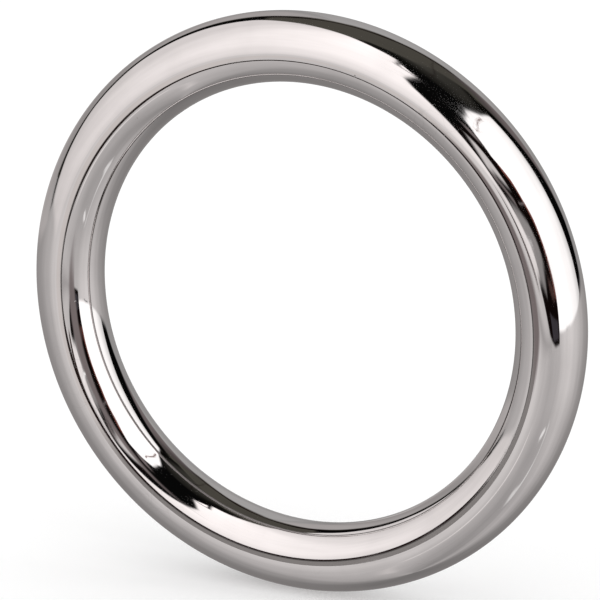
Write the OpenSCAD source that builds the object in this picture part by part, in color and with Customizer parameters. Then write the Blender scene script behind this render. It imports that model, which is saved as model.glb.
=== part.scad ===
// Ring of a disentanglement puzzle: one round steel bar, bent into a closed circle,
// welded end to end, ground smooth and mirror polished all over. It is a single piece,
// with no gap, catch or moving part, and everything else of the puzzle is threaded
// through its eye.
//
// Millimetres. The ring stands on its edge, as it also hangs from a hook: +Z is up, the
// ring's own axis runs along Y, and the origin is the centre of the eye.

/* [Ring] */
// Diameter of the eye, the clear round hole through the ring
eye_d = 52; // [20:1:120]
// Diameter of the round bar that the ring is bent from
bar_d = 8; // [3:0.5:12]

/* [Hidden] */
// Radius of the circle that the middle of the bar follows
bar_path_r = (eye_d + bar_d) / 2;
// Turns the ring's axis from Z to Y, so that the ring stands on its edge
standing = [90, 0, 0];
// Steps round the eye, and round the bar's section
eye_steps = 180;
bar_steps = 60;

// Section through the bar on one side of the ring's axis
module bar_section() {
    translate([bar_path_r, 0])
        circle(d = bar_d, $fn = bar_steps);
}

// The whole ring: the bar's section swept once round the ring's axis
module ring() {
    color("silver")
        rotate(standing)
            rotate_extrude($fn = eye_steps)
                bar_section();
}

ring();
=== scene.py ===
"""Ring of a disentanglement puzzle: round steel bar, closed and mirror polished.

A mirror has no looks of its own, so most of this file is the studio that the ring reflects:
two softboxes, the table, the walls and the dark things between them. The cards that stand
for them are seen only in the steel. The camera sees the ring on a plain pale floor.

Lengths are metres and angles are degrees. The row frame has +Z up, the ring's axis along Y
and the centre of its eye at the origin.
"""

import logging
from collections.abc import Sequence
from dataclasses import dataclass
from enum import Enum
from math import cos, pi, radians, sin, tan

import bmesh
import bpy
from mathutils import Euler, Matrix, Vector
from mathutils.kdtree import KDTree


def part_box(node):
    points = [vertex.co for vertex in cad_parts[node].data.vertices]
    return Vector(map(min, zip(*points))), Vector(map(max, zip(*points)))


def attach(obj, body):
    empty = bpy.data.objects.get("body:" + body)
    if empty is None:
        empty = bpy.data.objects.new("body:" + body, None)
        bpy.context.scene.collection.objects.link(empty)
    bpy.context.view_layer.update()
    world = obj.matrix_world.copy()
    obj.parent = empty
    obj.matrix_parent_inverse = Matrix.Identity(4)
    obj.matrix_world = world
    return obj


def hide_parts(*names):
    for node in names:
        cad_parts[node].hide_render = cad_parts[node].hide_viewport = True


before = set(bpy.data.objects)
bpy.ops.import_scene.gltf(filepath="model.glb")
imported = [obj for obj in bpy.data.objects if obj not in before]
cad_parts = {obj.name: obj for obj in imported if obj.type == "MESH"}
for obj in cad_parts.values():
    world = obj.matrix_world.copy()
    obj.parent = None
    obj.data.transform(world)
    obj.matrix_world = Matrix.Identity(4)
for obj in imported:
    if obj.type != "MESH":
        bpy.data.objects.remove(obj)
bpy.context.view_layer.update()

log = logging.getLogger("puzzle_ring")

RING_NODE = "ring"
BODY = "root"
STEEL_SLOT = "polished_steel"
STEEL_COLOR = (0.637, 0.613, 0.608)
STEEL_REFLECTS = 0.63
TABLE_REACH = 0.62
FEATHER_LAYER = "feather"
FEATHER_CUTS = 2
SHADE_LAYER = "shade"
OVAL_CORNERS = 20

# A display turns a tone into light by about this curve.
TONE_LIFT = 0.055
TONE_POWER = 2.4

Stops = tuple[tuple[float, float], ...]
Corners = tuple[tuple[float, float], ...]
Color = tuple[float, float, float]


class Noise(Enum):
    """The fourth coordinate of each noise on the steel, which tells the noises apart."""

    WAVES = 0.0
    SCRATCHES = 1.0
    SMUDGES = 3.0
    CROSS_SCRATCHES = 5.0
    WORN_PLACES = 8.0


class Hidden(Enum):
    """Which rays a piece of the studio is kept from."""

    ALL_BUT_MIRROR = "seen only as a reflection"
    MIRROR = "seen by every ray but reflections"

    def apply(self, thing: bpy.types.Object) -> None:
        """Sets the ray visibility of one object.

        Args:
            thing: The object to hide from some of the rays.
        """
        only_reflected = self is Hidden.ALL_BUT_MIRROR
        thing.visible_camera = not only_reflected
        thing.visible_diffuse = not only_reflected
        thing.visible_shadow = not only_reflected
        thing.visible_glossy = self is not Hidden.MIRROR


@dataclass(frozen=True)
class Nodes:
    """A short hand for wiring one material's nodes together."""

    tree: bpy.types.NodeTree

    def add(self, kind: str, **settings: object) -> bpy.types.Node:
        """Adds a node.

        Args:
            kind: The node's type, such as ShaderNodeMath.
            settings: Properties of the node to set.

        Returns:
            The new node.
        """
        node = self.tree.nodes.new(kind)
        for name, value in settings.items():
            setattr(node, name, value)
        return node

    def feed(self, node: bpy.types.Node, **inputs: object) -> bpy.types.Node:
        """Links or sets a node's inputs by name, with _ for a space.

        Args:
            node: The node to feed.
            inputs: An output socket to link from, or a constant to set.

        Returns:
            The same node.
        """
        for name, value in inputs.items():
            socket = node.inputs[name.replace("_", " ")]
            if isinstance(value, bpy.types.NodeSocket):
                self.tree.links.new(value, socket)
            else:
                socket.default_value = value
        return node

    def math(self, operation: str, *values: object) -> bpy.types.NodeSocket:
        """One step of arithmetic.

        Args:
            operation: The Math node's operation.
            values: Its inputs in order, as sockets or numbers.

        Returns:
            The result's socket.
        """
        node = self.add("ShaderNodeMath", operation=operation)
        for socket, value in zip(node.inputs, values):
            if isinstance(value, bpy.types.NodeSocket):
                self.tree.links.new(value, socket)
            else:
                socket.default_value = value
        return node.outputs[0]

    def spread(self, value: object, low: float, high: float, to_low: float,
               to_high: float) -> bpy.types.NodeSocket:
        """Maps a value smoothly from one range to another.

        Args:
            value: The socket to map.
            low: Start of the range that is read.
            high: End of the range that is read.
            to_low: What the start becomes.
            to_high: What the end becomes.

        Returns:
            The result's socket.
        """
        node = self.add("ShaderNodeMapRange", interpolation_type="SMOOTHSTEP")
        self.feed(node, Value=value, From_Min=low, From_Max=high, To_Min=to_low, To_Max=to_high)
        return node.outputs["Result"]

    def noise(self, place: bpy.types.NodeSocket, fourth: object, scale: float,
              detail: float = 2.0) -> bpy.types.NodeSocket:
        """Four-dimensional noise.

        Args:
            place: The first three coordinates.
            fourth: The fourth coordinate, which may be a constant that tells noises apart.
            scale: How many features fit in one unit.
            detail: How many finer layers lie on the first.

        Returns:
            The noise value's socket.
        """
        node = self.add("ShaderNodeTexNoise", noise_dimensions="4D")
        self.feed(node, Vector=place, W=fourth, Scale=scale, Detail=detail)
        return node.outputs[0]

    def total(self, *values: object) -> bpy.types.NodeSocket:
        """Adds up any number of values.

        Args:
            values: Sockets or numbers, at least two.

        Returns:
            The sum's socket.
        """
        result = values[0]
        for value in values[1:]:
            result = self.math("ADD", result, value)
        return result


@dataclass(frozen=True)
class PolishedSteel:
    """Mirror-polished stainless steel, buffed along the bar, with the marks of handling.

    Sizes and heights of its marks are metres. The two that aren't are hairline_turns, which
    sets how often a line changes on its way round, and scratch_width, a span of noise levels.
    """

    color: Color
    edge_tint: Color = (0.80, 0.785, 0.78)
    mark_color: Color = (0.05, 0.045, 0.04)
    name: str = STEEL_SLOT
    # Roughness of the bare polish, of a smudge, and what a scratch and a pit add to it
    gloss: float = 0.035
    smudged: float = 0.085
    scratch_dulls: float = 0.07
    pit_dulls: float = 0.3
    # Share of the dark mark colour that each mark takes on
    smudge_darkens: float = 0.05
    hairline_darkens: float = 0.04
    scratch_darkens: float = 0.06
    # Pits are drawn dark in their middles by colour, besides being rough and sunk.
    pit_darkens: float = 0.6
    # Sizes and heights of the marks, and the noise levels between which each one fades in
    smudge: float = 1 / 160
    smudge_levels: tuple[float, float] = (0.46, 0.68)
    hairline: float = 0.00022
    hairline_turns: float = 5.0
    hairline_levels: tuple[float, float] = (0.25, 0.75)
    hairline_height: float = 7e-8
    wave: float = 0.009
    wave_height: float = 7e-6
    worn_place: float = 1 / 70
    worn_levels: tuple[float, float] = (0.5, 0.66)
    scratch: float = 0.0035
    scratch_width: float = 0.010
    scratch_depth: float = 1.5e-7
    pit: float = 0.0045
    pit_chance: float = 0.45
    pit_radius: float = 0.00014
    pit_depth: float = 1.2e-5

    def build(self) -> bpy.types.Material:
        """Makes the material.

        Returns:
            The finished material.
        """
        material = bpy.data.materials.new(self.name)
        material.use_nodes = True
        wire = Nodes(material.node_tree)
        shader = material.node_tree.nodes["Principled BSDF"]
        place = wire.add("ShaderNodeTexCoord").outputs["Object"]
        hairlines = self._hairlines(wire, place)
        cloudy = wire.noise(place, Noise.SMUDGES.value, 1.0 / self.smudge, detail=4.0)
        smudges = wire.spread(cloudy, *self.smudge_levels, 0.0, 1.0)
        scratches = self._scratches(wire, place)
        pits = self._pits(wire, place)
        dulled = wire.total(
            wire.math("MULTIPLY", smudges, self.smudged - self.gloss),
            wire.math("MULTIPLY", hairlines, self.gloss),
            wire.math("MULTIPLY", scratches, self.scratch_dulls),
            wire.math("MULTIPLY", pits, self.pit_dulls),
            self.gloss * 0.5)
        relief = self._relief(wire, place, hairlines, scratches, pits)
        tint = self._tint(wire, smudges, hairlines, scratches, pits)
        wire.feed(shader, Metallic=1.0, Roughness=dulled, Normal=relief)
        wire.feed(shader, Base_Color=tint, Specular_Tint=(*self.edge_tint, 1.0))
        return material

    def _hairlines(self, wire: Nodes, place: bpy.types.NodeSocket) -> bpy.types.NodeSocket:
        """Fine lines of the buffing wheel, which run along the bar and close on themselves.

        Args:
            wire: The material's nodes.
            place: Object coordinates.

        Returns:
            A value from 0 to 1.
        """
        apart = wire.feed(wire.add("ShaderNodeSeparateXYZ"), Vector=place)
        x, y, z = (apart.outputs[axis] for axis in "XYZ")
        squares = wire.math("ADD", wire.math("MULTIPLY", x, x), wire.math("MULTIPLY", z, z))
        radius = wire.math("SQRT", squares)
        turns = wire.math("DIVIDE", self.hairline_turns, radius)
        around = wire.feed(
            wire.add("ShaderNodeCombineXYZ"),
            X=wire.math("DIVIDE", radius, self.hairline),
            Y=wire.math("DIVIDE", y, self.hairline),
            Z=wire.math("MULTIPLY", x, turns))
        lines = wire.noise(around.outputs[0], wire.math("MULTIPLY", z, turns), 1.0, 2.0)
        return wire.spread(lines, *self.hairline_levels, 0.0, 1.0)

    def _scratches(self, wire: Nodes, place: bpy.types.NodeSocket) -> bpy.types.NodeSocket:
        """Thin stray scratches that lie in a few worn places.

        Args:
            wire: The material's nodes.
            place: Object coordinates.

        Returns:
            A value from 0 to 1, which is 1 in the middle of a scratch.
        """
        patchy = wire.noise(place, Noise.WORN_PLACES.value, 1.0 / self.worn_place)
        worn = wire.spread(patchy, *self.worn_levels, 0.0, 1.0)
        threads = []
        for thread in (Noise.SCRATCHES, Noise.CROSS_SCRATCHES):
            level = wire.noise(place, thread.value, 1.0 / self.scratch, 1.0)
            ridge = wire.math("ABSOLUTE", wire.math("SUBTRACT", level, 0.5))
            threads.append(wire.spread(ridge, 0.0, self.scratch_width, 1.0, 0.0))
        return wire.math("MULTIPLY", worn, wire.math("MAXIMUM", *threads))

    def _pits(self, wire: Nodes, place: bpy.types.NodeSocket) -> bpy.types.NodeSocket:
        """A few pinhole pits that polishing has left.

        Args:
            wire: The material's nodes.
            place: Object coordinates.

        Returns:
            A value from 0 to 1, which is 1 in the middle of a pit.
        """
        cells = wire.feed(wire.add("ShaderNodeTexVoronoi"), Vector=place, Scale=1.0 / self.pit)
        reach = self.pit_radius / self.pit
        near = wire.spread(cells.outputs["Distance"], reach * 0.5, reach, 1.0, 0.0)
        apart = wire.feed(wire.add("ShaderNodeSeparateColor"), Color=cells.outputs["Color"])
        chosen = wire.math("GREATER_THAN", apart.outputs[0], 1.0 - self.pit_chance)
        return wire.math("MULTIPLY", near, chosen)

    def _relief(self, wire: Nodes, place: bpy.types.NodeSocket, hairlines: bpy.types.NodeSocket,
                scratches: bpy.types.NodeSocket, pits: bpy.types.NodeSocket
                ) -> bpy.types.NodeSocket:
        """Adds up the surface's relief.

        Args:
            wire: The material's nodes.
            place: Object coordinates.
            hairlines: Where the buffing lines are.
            scratches: Where the scratches are.
            pits: Where the pits are.

        Returns:
            The bumped normal's socket.
        """
        waves = wire.noise(place, Noise.WAVES.value, 1.0 / self.wave, 1.0)
        height = wire.total(
            wire.math("MULTIPLY", waves, self.wave_height),
            wire.math("MULTIPLY", hairlines, self.hairline_height),
            wire.math("MULTIPLY", scratches, -self.scratch_depth),
            wire.math("MULTIPLY", pits, -self.pit_depth))
        bump = wire.feed(wire.add("ShaderNodeBump"), Height=height, Strength=1.0, Distance=1.0)
        return bump.outputs[0]

    def _tint(self, wire: Nodes, smudges: bpy.types.NodeSocket,
              hairlines: bpy.types.NodeSocket, scratches: bpy.types.NodeSocket,
              pits: bpy.types.NodeSocket) -> bpy.types.NodeSocket:
        """Colours the steel, a little duller in smudges and scratches and dark in pits.

        Args:
            wire: The material's nodes.
            smudges: Where the smudges are.
            hairlines: Where the buffing lines are.
            scratches: Where the scratches are.
            pits: Where the pits are.

        Returns:
            The colour's socket.
        """
        worn = wire.total(
            wire.math("MULTIPLY", smudges, self.smudge_darkens),
            wire.math("MULTIPLY", hairlines, self.hairline_darkens),
            wire.math("MULTIPLY", scratches, self.scratch_darkens),
            wire.math("MULTIPLY", pits, self.pit_darkens))
        ramp = wire.add("ShaderNodeValToRGB")
        ramp.color_ramp.elements[0].color = (*self.color, 1.0)
        ramp.color_ramp.elements[1].color = (*self.mark_color, 1.0)
        wire.feed(ramp, Fac=worn)
        return ramp.outputs["Color"]


@dataclass(frozen=True)
class Glow:
    """The light of one card: a tone, and how it changes from side to side and upwards.

    The tone is the brightness that the card shows in the steel, where 1 is a display's white.
    Stops are pairs of an angle in degrees and a share of the light. Angles across are
    counted from the camera's side of the ring, positive to the camera's right.
    """

    tone: float
    tint: Color = (1.0, 1.0, 1.0)
    across: Stops = ()
    upward: Stops = ()

    @property
    def light(self) -> float:
        """What the card gives off, so that the steel shows its tone."""
        return ((self.tone + TONE_LIFT) / (1 + TONE_LIFT)) ** TONE_POWER / STEEL_REFLECTS

    def build(self, name: str, camera_azimuth: float, feather: bool) -> bpy.types.Material:
        """Makes the card's material.

        Args:
            name: The material's name.
            camera_azimuth: Where the camera stands, as the azimuth of its view.
            feather: Whether the card thins out towards its outline.

        Returns:
            An emission material.
        """
        material = bpy.data.materials.new(name)
        material.use_nodes = True
        material.cycles.emission_sampling = "NONE"
        tree = material.node_tree
        tree.nodes.clear()
        wire = Nodes(tree)
        out = wire.add("ShaderNodeOutputMaterial")
        emission = wire.add("ShaderNodeEmission")
        wire.feed(emission, Color=(*self.tint, 1.0), Strength=self.light)
        if self.across or self.upward:
            wire.feed(emission, Strength=self._shaded(wire, camera_azimuth))
        if not feather:
            wire.feed(out, Surface=emission.outputs[0])
            return material
        depth = wire.add("ShaderNodeAttribute", attribute_name=FEATHER_LAYER).outputs["Fac"]
        mix = wire.add("ShaderNodeMixShader")
        clear = wire.add("ShaderNodeBsdfTransparent")
        wire.feed(mix, Fac=wire.spread(depth, 0.0, 1.0, 0.0, 1.0))
        tree.links.new(clear.outputs[0], mix.inputs[1])
        tree.links.new(emission.outputs[0], mix.inputs[2])
        wire.feed(out, Surface=mix.outputs[0])
        return material

    def _shaded(self, wire: Nodes, camera_azimuth: float) -> bpy.types.NodeSocket:
        """Works out the light from the direction in which the ring sees the card.

        Args:
            wire: The material's nodes.
            camera_azimuth: Where the camera stands, as the azimuth of its view.

        Returns:
            The light's socket.
        """
        place = wire.add("ShaderNodeTexCoord").outputs["Object"]
        turned = wire.add("ShaderNodeVectorRotate", rotation_type="Z_AXIS")
        wire.feed(turned, Vector=place, Angle=radians(90.0 - camera_azimuth))
        apart = wire.add("ShaderNodeSeparateXYZ")
        wire.feed(apart, Vector=turned.outputs[0])
        x, y, z = (apart.outputs[axis] for axis in "XYZ")
        light: object = self.light
        if self.across:
            angle = wire.math("ARCTAN2", y, x)
            light = wire.math("MULTIPLY", light, self._stops(wire, angle, self.across))
        if self.upward:
            squares = wire.math("ADD", wire.math("MULTIPLY", x, x), wire.math("MULTIPLY", y, y))
            angle = wire.math("ARCTAN2", z, wire.math("SQRT", squares))
            light = wire.math("MULTIPLY", light, self._stops(wire, angle, self.upward))
        return light

    @staticmethod
    def _stops(wire: Nodes, angle: bpy.types.NodeSocket,
               stops: Stops) -> bpy.types.NodeSocket:
        """Reads a share off a row of stops, smoothly between them.

        Args:
            wire: The material's nodes.
            angle: The angle in radians.
            stops: Pairs of an angle in degrees and a share, by rising angle.

        Returns:
            The share's socket.
        """
        share: object = stops[0][1]
        for (low, before), (high, after) in zip(stops, stops[1:]):
            step = wire.spread(angle, radians(low), radians(high), 0.0, after - before)
            share = wire.math("ADD", share, step)
        return share


@dataclass(frozen=True)
class Card:
    """A card of the studio, bent to lie at one distance from the ring's centre.

    Corners are (across, up) angles in degrees, in order round the card. A feather is the
    angle over which the card thins out towards its outline.
    """

    name: str
    distance: float
    corners: Corners
    glow: Glow
    feather: float = 0.0
    cuts: int = 3

    def build(self, camera_azimuth: float) -> bpy.types.Object:
        """Makes the card, seen only as a reflection.

        Args:
            camera_azimuth: Where the camera stands, as the azimuth of its view.

        Returns:
            The card.
        """
        shape = bmesh.new()
        outline = [toward(camera_azimuth + across, up) * self.distance
                   for across, up in self.corners]
        shape.faces.new([shape.verts.new(corner) for corner in outline])
        bmesh.ops.triangulate(shape, faces=shape.faces[:])
        cuts = self.cuts + FEATHER_CUTS if self.feather else self.cuts
        for _ in range(cuts):
            bmesh.ops.subdivide_edges(shape, edges=shape.edges[:], cuts=1, use_grid_fill=True)
        for vert in shape.verts:
            vert.co = vert.co.normalized() * self.distance
        if self.feather:
            self._feather(shape)
        material = self.glow.build(self.name, camera_azimuth, bool(self.feather))
        card = finish_mesh(self.name, shape, material)
        Hidden.ALL_BUT_MIRROR.apply(card)
        return card

    def _feather(self, shape: bmesh.types.BMesh) -> None:
        """Writes how far inside the outline each point lies, as a share of the feather.

        Args:
            shape: The card's mesh.
        """
        layer = shape.verts.layers.float.new(FEATHER_LAYER)
        rim = [vert for vert in shape.verts if vert.is_boundary]
        border = KDTree(len(rim))
        for index, vert in enumerate(rim):
            border.insert(vert.co, index)
        border.balance()
        reach = radians(self.feather) * self.distance
        for vert in shape.verts:
            vert[layer] = min(border.find(vert.co)[2] / reach, 1.0)


def oval(across: float, up: float, wide: float, high: float, turn: float = 0.0) -> Corners:
    """Corners of a small oval card.

    Args:
        across: The middle's angle across, in degrees.
        up: The middle's angle up, in degrees.
        wide: Half of its width, in degrees.
        high: Half of its height, in degrees.
        turn: How far it is turned anticlockwise, in degrees.

    Returns:
        Corners for a card.
    """
    corners = []
    for step in range(OVAL_CORNERS):
        angle = 2 * pi * step / OVAL_CORNERS
        along, beside = wide * cos(angle), high * sin(angle)
        aside = along * cos(radians(turn)) - beside * sin(radians(turn))
        above = along * sin(radians(turn)) + beside * cos(radians(turn))
        corners.append((across + aside / cos(radians(up)), up + above))
    return tuple(corners)


def strip(points: Corners, width: float) -> Corners:
    """Corners of a thin card that follows a line.

    Args:
        points: (across, up) points of its lower edge.
        width: Its width upwards, in degrees.

    Returns:
        Corners for a card.
    """
    return points + tuple((across, up + width) for across, up in reversed(points))


def toward(azimuth: float, elevation: float) -> Vector:
    """Direction from the ring's centre to a viewer at an azimuth and an elevation.

    Args:
        azimuth: Degrees round Z, where 0 is a viewer on the -Y side.
        elevation: Degrees above the level.

    Returns:
        A direction of length 1.
    """
    a, e = radians(azimuth), radians(elevation)
    return Vector((sin(a) * cos(e), -cos(a) * cos(e), sin(e)))


def finish_mesh(name: str, shape: bmesh.types.BMesh, material: bpy.types.Material,
                smooth: bool = False) -> bpy.types.Object:
    """Turns a finished shape into an object at the origin.

    Args:
        name: The object's name.
        shape: The shape, which is freed.
        material: What it is made of.
        smooth: Whether its faces are shaded as one smooth surface.

    Returns:
        The new object.
    """
    for face in shape.faces:
        face.smooth = smooth
    mesh = bpy.data.meshes.new(name)
    shape.to_mesh(mesh)
    shape.free()
    mesh.materials.append(material)
    thing = bpy.data.objects.new(name, mesh)
    bpy.context.scene.collection.objects.link(thing)
    return thing


@dataclass(frozen=True)
class Station:
    """One place along the post: metres from the ring's centre, half width and tone."""

    reach: float
    spread: float
    tone: float


@dataclass(frozen=True)
class Post:
    """A tapered post that points at the ring, dark at its ends and shaded underneath.

    The front of the bar faces it all the way round the ring, so it draws a line round it.
    Distances are metres from the ring's centre, and half widths are degrees seen from there.
    """

    across: float = -48.0
    up: float = -17.0
    near: float = 0.090
    far: float = 0.30
    spread: float = 3.2
    around: int = 48
    tip_depth: float = 0.002
    lit_from: float = 0.006
    middle: tuple[float, ...] = (0.04, 0.09)
    lit_to: float = 0.85
    shadow_from: float = 0.93
    tint: Color = (1.0, 0.95, 0.93)
    tip_tone: float = 0.30
    lit_tone: float = 0.77
    under_tone: float = 0.50
    shadow_tone: float = 0.40
    foot_tone: float = 0.35
    shade_turn: float = 145.0
    shade_edge: float = 2.5

    @property
    def stations(self) -> tuple[Station, ...]:
        """Places along the post, from its tip to its foot."""
        return (
            Station(self.near - self.tip_depth, 0.0, self.tip_tone),
            Station(self.near, self.spread, self.tip_tone),
            Station(self.near + self.lit_from, self.spread, self.lit_tone),
            *(Station(self.near + step, self.spread, self.lit_tone) for step in self.middle),
            Station(self.far * self.lit_to, self.spread, self.lit_tone),
            Station(self.far * self.shadow_from, self.spread, self.shadow_tone),
            Station(self.far, self.spread, self.foot_tone))

    def build(self, camera_azimuth: float) -> bpy.types.Object:
        """Makes the post, seen only as a reflection.

        Args:
            camera_azimuth: Where the camera stands, as the azimuth of its view.

        Returns:
            The post.
        """
        axis = toward(camera_azimuth + self.across, self.up)
        beside = axis.orthogonal().normalized()
        shape = bmesh.new()
        profile = [
            shape.verts.new(axis * stop.reach + beside * stop.reach * tan(radians(stop.spread)))
            for stop in self.stations]
        edges = [shape.edges.new(pair) for pair in zip(profile, profile[1:])]
        bmesh.ops.spin(shape, geom=profile + edges, cent=(0.0, 0.0, 0.0), axis=axis,
                       angle=2 * pi, steps=self.around, use_merge=True, use_duplicate=False)
        bmesh.ops.recalc_face_normals(shape, faces=shape.faces[:])
        self._shade(shape, axis)
        post = finish_mesh("post", shape, self._material(), smooth=True)
        Hidden.ALL_BUT_MIRROR.apply(post)
        return post

    def _shade(self, shape: bmesh.types.BMesh, axis: Vector) -> None:
        """Writes the tone of each point: dark ends, and a shaded lower right side.

        Args:
            shape: The post's mesh.
            axis: The post's direction.
        """
        layer = shape.verts.layers.float.new(SHADE_LAYER)
        turn = radians(self.shade_turn)
        shaded_side = Vector((sin(turn), 0.0, cos(turn)))
        halfway = (self.near + self.far) / 2
        for vert in shape.verts:
            reach = vert.co.dot(axis)
            outward = (vert.co - axis * reach).normalized()
            tone = min(self.stations, key=lambda stop: abs(stop.reach - reach)).tone
            facing = outward.dot(shaded_side) * self.shade_edge + 1.0
            in_shade = min(max(facing, 0.0), 1.0)
            shaded = self.under_tone if tone == self.lit_tone else tone
            at_tip = tone != self.lit_tone and reach < halfway
            vert[layer] = tone if at_tip else (
                self.lit_tone + (shaded - self.lit_tone) * in_shade)

    def _material(self) -> bpy.types.Material:
        """Makes a material that gives off each point's tone."""
        material = bpy.data.materials.new("post")
        material.use_nodes = True
        material.cycles.emission_sampling = "NONE"
        tree = material.node_tree
        tree.nodes.clear()
        wire = Nodes(tree)
        tone = wire.add("ShaderNodeAttribute", attribute_name=SHADE_LAYER).outputs["Fac"]
        raised = wire.math("DIVIDE", wire.math("ADD", tone, TONE_LIFT), 1 + TONE_LIFT)
        light = wire.math("DIVIDE", wire.math("POWER", raised, TONE_POWER), STEEL_REFLECTS)
        emission = wire.feed(wire.add("ShaderNodeEmission"), Color=(*self.tint, 1.0),
                             Strength=light)
        wire.feed(wire.add("ShaderNodeOutputMaterial"), Surface=emission.outputs[0])
        return material


@dataclass
class Ring:
    """The closed ring, swept from the round section of its bar."""

    lowest: Vector
    highest: Vector
    steel: PolishedSteel
    bar_steps: int = 96
    eye_steps: int = 480
    weld_share: float = 1e-4

    @property
    def bar_radius(self) -> float:
        """Radius of the round bar, which is half of the ring's depth."""
        return (self.highest.y - self.lowest.y) / 2

    @property
    def path_radius(self) -> float:
        """Radius of the circle that the middle of the bar follows."""
        return (self.highest.z - self.lowest.z) / 2 - self.bar_radius

    def build(self) -> bpy.types.Object:
        """Makes the ring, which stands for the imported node.

        Returns:
            The finished piece.
        """
        shape = bmesh.new()
        section = bmesh.ops.create_circle(
            shape, segments=self.bar_steps, radius=self.bar_radius,
            matrix=Matrix.Translation((self.path_radius, 0.0, 0.0)))
        edges = list({edge for vert in section["verts"] for edge in vert.link_edges})
        bmesh.ops.spin(
            shape, geom=section["verts"] + edges, cent=(0.0, 0.0, 0.0), axis=(0.0, 1.0, 0.0),
            angle=2 * pi, steps=self.eye_steps, use_merge=True, use_duplicate=False)
        weld = self.bar_radius * self.weld_share
        bmesh.ops.remove_doubles(shape, verts=shape.verts[:], dist=weld)
        bmesh.ops.recalc_face_normals(shape, faces=shape.faces[:])
        ring = finish_mesh("polished_ring", shape, self.steel.build(), smooth=True)
        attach(ring, BODY)
        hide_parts(RING_NODE)
        return ring


@dataclass
class Camera:
    """The camera, which looks slightly down on the ring from its front and right.

    Its reach and its aim are counted in radii of the circle that the bar follows.
    """

    path_radius: float
    azimuth: float = 24.7
    elevation: float = 16.5
    lens: float = 211.3
    reach: float = 13.32
    aim_left: float = 0.015
    aim_up: float = 0.022

    def build(self) -> bpy.types.Object:
        """Makes the camera and gives it to the scene.

        Returns:
            The camera object.
        """
        turn = Euler((radians(90.0 - self.elevation), 0.0, radians(self.azimuth)))
        right = turn.to_matrix() @ Vector((1.0, 0.0, 0.0))
        up = turn.to_matrix() @ Vector((0.0, 1.0, 0.0))
        aim = (up * self.aim_up - right * self.aim_left) * self.path_radius
        back = toward(self.azimuth, self.elevation)
        data = bpy.data.cameras.new("camera")
        data.lens = self.lens
        camera = bpy.data.objects.new("camera", data)
        camera.location = aim + back * self.reach * self.path_radius
        camera.rotation_euler = turn
        bpy.context.scene.collection.objects.link(camera)
        bpy.context.scene.camera = camera
        return camera


@dataclass
class Studio:
    """Floor, light, and the table, the post and the cards that the steel reflects."""

    floor_height: float
    camera_azimuth: float
    floor_radius: float = 3.0
    floor_corners: int = 128
    floor_color: Color = (0.78, 0.78, 0.78)
    floor_roughness: float = 0.9
    floor_glow: float = 0.24
    soft_light: float = 1.05
    room_color: Color = (0.10, 0.095, 0.08)
    table_around: int = 96
    table_rows: int = 48

    def build_floor(self) -> bpy.types.Object:
        """Makes the pale floor that the ring stands on.

        Returns:
            The floor.
        """
        shape = bmesh.new()
        bmesh.ops.create_circle(
            shape, cap_ends=True, segments=self.floor_corners, radius=self.floor_radius,
            matrix=Matrix.Translation((0.0, 0.0, self.floor_height)))
        material = bpy.data.materials.new("pale_floor")
        material.use_nodes = True
        shader = material.node_tree.nodes["Principled BSDF"]
        Nodes(material.node_tree).feed(
            shader, Base_Color=(*self.floor_color, 1.0), Roughness=self.floor_roughness,
            Specular_IOR_Level=0.0, Emission_Color=(1.0, 1.0, 1.0, 1.0),
            Emission_Strength=self.floor_glow)
        floor = finish_mesh("pale_floor", shape, material)
        Hidden.MIRROR.apply(floor)
        return floor

    def build_light(self) -> None:
        """Makes the soft light from all round, which mirrors see as a dim room."""
        world = bpy.data.worlds.new("soft_light")
        bpy.context.scene.world = world
        world.use_nodes = True
        tree = world.node_tree
        tree.nodes.clear()
        wire = Nodes(tree)
        out = wire.add("ShaderNodeOutputWorld")
        mix = wire.add("ShaderNodeMixShader")
        soft = wire.add("ShaderNodeBackground")
        room = wire.add("ShaderNodeBackground")
        path = wire.add("ShaderNodeLightPath")
        wire.feed(soft, Color=(1.0, 1.0, 1.0, 1.0), Strength=self.soft_light)
        wire.feed(room, Color=(*self.room_color, 1.0), Strength=1.0)
        tree.links.new(path.outputs["Is Glossy Ray"], mix.inputs["Fac"])
        tree.links.new(soft.outputs[0], mix.inputs[1])
        tree.links.new(room.outputs[0], mix.inputs[2])
        wire.feed(out, Surface=mix.outputs[0])

    def build_table(self) -> bpy.types.Object:
        """Makes what the steel sees of the table, all round and below the ring.

        Returns:
            The table's card.
        """
        shape = bmesh.new()
        bmesh.ops.create_uvsphere(shape, u_segments=self.table_around,
                                  v_segments=self.table_rows, radius=TABLE_REACH)
        above = [vert for vert in shape.verts if vert.co.z > 0.0]
        bmesh.ops.delete(shape, geom=above, context="VERTS")
        # The table's card carries the painted light and painted shade of TABLE_GLOW.
        table = finish_mesh("table_card", shape,
                            TABLE_GLOW.build("table_card", self.camera_azimuth, False))
        Hidden.ALL_BUT_MIRROR.apply(table)
        return table

    def build_cards(self) -> None:
        """Makes the post and every card of the studio."""
        Post().build(self.camera_azimuth)
        for card in CARDS:
            card.build(self.camera_azimuth)


# Painted light and shade of the table: brighter below the two softboxes, darker behind the ring,
# and a painted shadow that darkens it straight below the ring.
TABLE_GLOW = Glow(
    0.80, (1.0, 0.975, 0.972),
    across=((-180, 0.43), (-120, 0.47), (-80, 0.63), (-60, 0.84), (-42, 0.95), (-20, 0.76),
            (0, 0.66), (20, 0.71), (40, 0.89), (60, 0.97), (80, 0.84), (100, 0.66), (120, 0.50),
            (150, 0.43), (180, 0.43)),
    upward=((-80, 0.66), (-60, 0.76), (-40, 0.85), (-25, 1.0), (-12, 1.1)))

WARM_WHITE = (1.0, 0.965, 0.96)
PINK = (1.0, 0.86, 0.86)
BROWN = (1.0, 0.55, 0.48)
RUST = (1.0, 0.34, 0.26)
OLIVE = (1.0, 0.97, 0.84)
VIOLET = (0.95, 0.86, 1.0)

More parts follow.
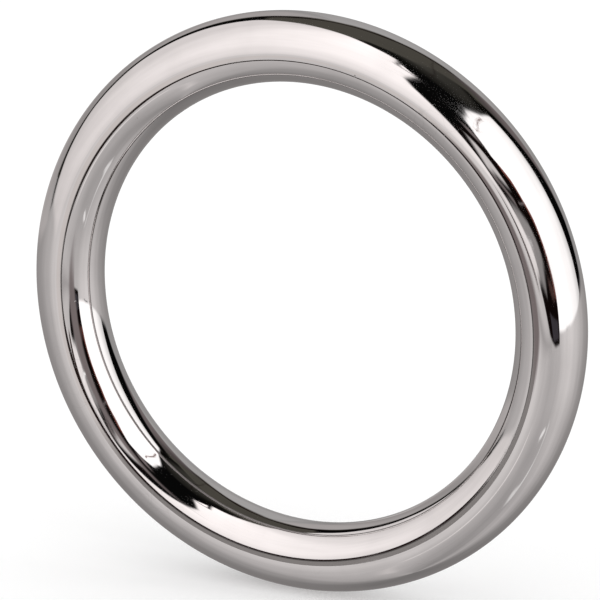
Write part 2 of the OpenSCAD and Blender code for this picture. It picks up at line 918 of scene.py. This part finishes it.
CARDS = (
    # Walls behind the ring, with the ceiling's dark edge above them.
    Card("back_wall_right", 0.60,
         ((112, -6), (112, 42), (145, 40), (153, 50), (170, 55), (187, 56), (187, -14),
          (150, -12)),
         Glow(0.64, across=((118, 0.85), (140, 0.95), (160, 1.0)),
              upward=((0, 0.85), (25, 1.0))), feather=5),
    Card("back_wall_left", 0.603,
         ((-187, -14), (-187, 56), (-160, 50), (-150, 36), (-138, 20), (-118, 2), (-100, -8),
          (-140, -12)),
         Glow(0.65, WARM_WHITE, upward=((-10, 1.1), (8, 0.8), (28, 1.0), (50, 1.0))),
         feather=3),
    # Grey panel on the wall beside the right flag, darker upwards, with painted shade around the
    # flag's top.
    Card("grey_panel_and_shade", 0.59,
         ((112, 0), (108, 48), (140, 48), (146, 40), (140, 26), (134, 12), (130, 0)),
         Glow(0.36, PINK, upward=((16, 1.5), (30, 1.25), (42, 0.7))), feather=6),
    Card("dark_cornice", 0.585,
         ((-178, 58), (-178, 62), (158, 60), (146, 50), (138, 43), (138, 37), (144, 39),
          (151, 45), (158, 51), (166, 55)),
         Glow(0.10, BROWN), feather=1.8),
    Card("dark_cornice_left", 0.585,
         ((178, 58), (178, 62), (-156, 58), (-144, 43), (-144, 38), (-148, 37), (-157, 45),
          (-162, 51), (-172, 56)),
         Glow(0.06, BROWN), feather=1.8),
    Card("lit_corner", 0.58, oval(-170, 4, 9, 5), Glow(0.78), feather=6),
    Card("back_of_stand", 0.56, oval(180, -17, 9, 7), Glow(0.42), feather=5),
    # Dark knob at the post's tip, and the soft shade in front of the ring's right side.
    Card("dark_knob", 0.0865, oval(-49.7, -16.7, 5.0, 2.7), Glow(0.12, BROWN), feather=0.5,
         cuts=1),
    Card("front_shade", 0.055,
         ((-44, -4), (-38, 2), (-29, 3), (-19, 0), (-9, -6), (-4, -15), (-12, -24), (-30, -24),
          (-36, -19), (-40, -11)),
         Glow(0.45, PINK), feather=7, cuts=2),
    # Pale papers on the table, seen low in front.
    Card("pale_paper", 0.60,
         ((25, -32), (31, -35), (32, -50), (30, -58), (20, -59), (12, -53), (12, -49),
          (22, -50), (26, -43)),
         Glow(0.83), feather=3, cuts=2),
    Card("paper_tag", 0.60, oval(17, -36, 5, 1.8), Glow(0.88), feather=1.2, cuts=1),
    Card("pale_fold", 0.60,
         ((-41, -42), (-33, -34), (-25, -25), (-21, -24), (-22, -29), (-30, -38), (-38, -44)),
         Glow(0.90, WARM_WHITE), feather=2.5, cuts=2),
    Card("pale_sheet", 0.60,
         ((-37, -42), (-44, -50), (-46, -64), (-36, -73), (-34, -64), (-37, -52)),
         Glow(0.78, WARM_WHITE), feather=3, cuts=2),
    Card("table_line", 0.60, strip(((44, -12), (50, -11), (57, -10.5)), 1.0),
         Glow(0.4), feather=0.5, cuts=2),
    # Dark gap in front, between the two softboxes, and the dim ceiling over it.
    Card("dim_ceiling", 0.57,
         ((-30, 20), (-22, 62), (-60, 74), (-60, 84), (0, 84), (60, 80), (110, 70), (118, 50),
          (96, 48), (60, 48), (22, 30), (22, 20)),
         Glow(0.25, OLIVE, across=((-60, 0.25), (0, 0.1), (30, 0.45), (70, 0.85), (100, 1.0)),
              upward=((52, 0.0), (62, 0.6), (78, 1.0))), feather=4),
    Card("ceiling_seam", 0.565,
         strip(((25, 67), (40, 70), (60, 71), (80, 71), (100, 69), (115, 66), (130, 59), (140, 50),
                (150, 43)), 0.8),
         Glow(0.10, BROWN), feather=0.3),
    Card("front_gap", 0.56,
         ((-31, -6), (-31, 25), (-24, 45), (-12, 62), (-4, 66), (20, 60), (30, 52), (20, 30),
          (22, -14)),
         Glow(0.03), feather=1),
    # Left softbox, and the flag along its back edge.
    Card("left_flag", 0.56,
         ((-136, 58), (-158, 50), (-152, 38), (-146, 28), (-138, 18), (-128, 9), (-116, 0),
          (-104, -6), (-96, -6), (-108, 2), (-124, 18), (-130, 32)),
         Glow(0.02), feather=2.5),
    Card("left_softbox", 0.55,
         ((-31, -6), (-29.5, 5), (-27, 22), (-24.5, 32), (-18, 41.5), (-11, 49), (-18, 54),
          (-12, 62), (-8, 67), (-28, 74), (-60, 78), (-100, 75), (-128, 64), (-139, 54),
          (-138, 40), (-133, 24), (-124, 12), (-112, 3), (-98, -5), (-82, -9), (-62, -14),
          (-45, -12)),
         Glow(0.985, WARM_WHITE,
              across=((-140, 0.68), (-112, 0.66), (-90, 0.77), (-60, 0.93), (-35, 1.05)),
              upward=((-18, 0.66), (0, 0.86), (20, 1.0), (70, 1.08))), feather=1.6),
    # Right softbox, its dark hem, and the flag behind it.
    Card("right_flag", 0.45,
         ((90, 54), (112, 52), (114, 40), (119, 28), (126, 16), (131, 5), (124, -6), (100, -7)),
         Glow(0.015), feather=4),
    Card("right_softbox", 0.42,
         ((-4, 0), (-4, 28), (-1, 36), (5, 41), (13, 46), (20, 50.5), (30, 53.5), (42, 55),
          (60, 55), (80, 53.5), (94, 50), (97, 35), (99, 20), (103, 5), (105, -5), (80, -8),
          (50, -11), (20, -13)),
         Glow(1.05, across=((55, 1.0), (80, 0.9), (101, 0.6))), feather=1.5),
    Card("right_hem", 0.415,
         strip(((4, 33.5), (10, 37), (20, 43.5), (30, 48), (40, 50.5), (50, 52)), 1.3),
         Glow(0.42, BROWN), feather=0.5),
    # Camera stand, draped with a few pale and brown cloths, and its shadow on the table.
    Card("camera_stand", 0.40,
         ((-30, -5), (-29, 2), (-24, 14), (-14, 22), (0, 21.5), (8, 21), (12, 17.5), (18, 14.5),
          (21, 6), (24, -3), (25, -15.5), (12, -16.5), (-4, -15), (-20, -10)),
         Glow(0.05, BROWN), feather=1),
    Card("pale_cloth", 0.397,
         ((-29, -1), (-24, 9), (-20, 16), (-15, 17), (-8, 13), (-4, 11), (-10, 8), (-18, 5),
          (-24, 0)),
         Glow(0.78, WARM_WHITE), feather=3, cuts=2),
    Card("grey_cloth", 0.396,
         ((-22, 1), (-10, 6), (0, 8), (7, 5), (8, 0), (2, -4), (-2, -9), (-14, -9), (-24, -6)),
         Glow(0.55, WARM_WHITE), feather=3, cuts=2),
    Card("brown_fold", 0.395, strip(((-27, -1), (-18, 2.5), (-8, 5)), 3.0),
         Glow(0.42, PINK), feather=1.3, cuts=2),
    Card("white_cloth", 0.394,
         ((-33, -2), (-24, -1), (-12, -3), (-12, -8), (-20, -11), (-30, -13)),
         Glow(0.90, WARM_WHITE), feather=2.5, cuts=2),
    Card("brown_cloth", 0.393, oval(13, -4, 7, 3), Glow(0.27, BROWN), feather=2, cuts=1),
    Card("red_cloth", 0.393, oval(-8, 25, 5, 4, 30), Glow(0.44, PINK), feather=3, cuts=1),
    Card("pale_cord", 0.392, strip(((-26, -7), (-16, -4), (-8, -1)), 0.9),
         Glow(0.95), feather=0.4, cuts=2),
    Card("grey_cord", 0.392, strip(((-2, 9.5), (6, 13), (14, 16.5)), 0.8),
         Glow(0.5, PINK), feather=0.4, cuts=2),
    Card("brown_edge", 0.394,
         ((-1, 18), (7, 17.5), (10, 14.5), (15, 11.5), (17.5, 5), (19.5, -5), (23, -5), (21, 6),
          (18, 14), (12, 17), (8, 20.5), (-1, 21.5)),
         Glow(0.44, RUST), feather=0.6, cuts=2),
    Card("stand_shadow", 0.401,
         ((-43, -12), (-30, -13), (-15, -14), (2, -14), (2, -17.5), (-20, -19), (-42, -18)),
         Glow(0.56, WARM_WHITE), feather=4, cuts=2),
    Card("shadow_line", 0.391, oval(-30, -10, 8, 1.7, -8), Glow(0.20, BROWN), feather=1,
         cuts=1),
    Card("stand_foot", 0.392, ((-2, -10), (20, -9.5), (23, -14), (6, -15.5)),
         Glow(0.22, VIOLET), feather=1, cuts=2),
)


def main() -> None:
    """Builds the camera, the ring and the studio, in that order."""
    logging.basicConfig(level=logging.INFO, format="%(name)s: %(message)s")
    bpy.context.scene.view_settings.view_transform = "Standard"
    lowest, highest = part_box(RING_NODE)
    ring = Ring(lowest, highest, PolishedSteel(STEEL_COLOR))
    camera = Camera(ring.path_radius)
    camera.build()
    log.info("camera at azimuth %.1f, elevation %.1f", camera.azimuth, camera.elevation)
    piece = ring.build()
    log.info("%s: bar %.1f mm, %d faces", piece.name, ring.bar_radius * 2e3,
             len(piece.data.polygons))
    studio = Studio(floor_height=lowest.z, camera_azimuth=camera.azimuth)
    studio.build_floor()
    studio.build_light()
    studio.build_table()
    studio.build_cards()
    log.info("studio of %d cards", len(CARDS))


if __name__ == "__main__":
    main()
